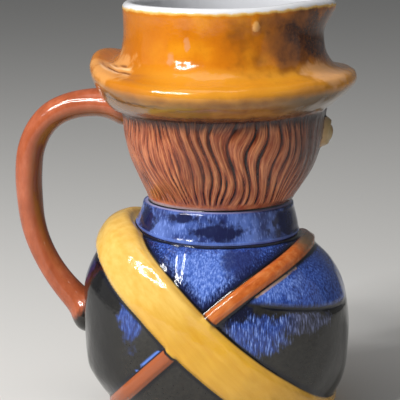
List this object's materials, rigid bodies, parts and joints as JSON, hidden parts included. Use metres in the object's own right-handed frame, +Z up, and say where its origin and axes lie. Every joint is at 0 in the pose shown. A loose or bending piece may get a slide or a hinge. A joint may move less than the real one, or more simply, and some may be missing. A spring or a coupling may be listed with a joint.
{
  "type": "toby jug",
  "caption": "Glazed earthenware figure jug: a hatted man's head and shoulders, hollow, with a loop handle and a pouring lip.",
  "frame": {"origin": "centre of the foot, on the surface that the jug stands on", "axes": "+Z up, -Y the way the man faces, +X to his left, the handle's side"},
  "size_m": [0.1345, 0.1139, 0.1628],
  "materials": {
    "glazed_earthenware": "gloss glaze: amber hat, red-brown hair and handle, cobalt coat running to black, yellow sash, white inside"
  },
  "bodies": {
    "root": {"jug": "glazed_earthenware"}
  },
  "joints": []
}
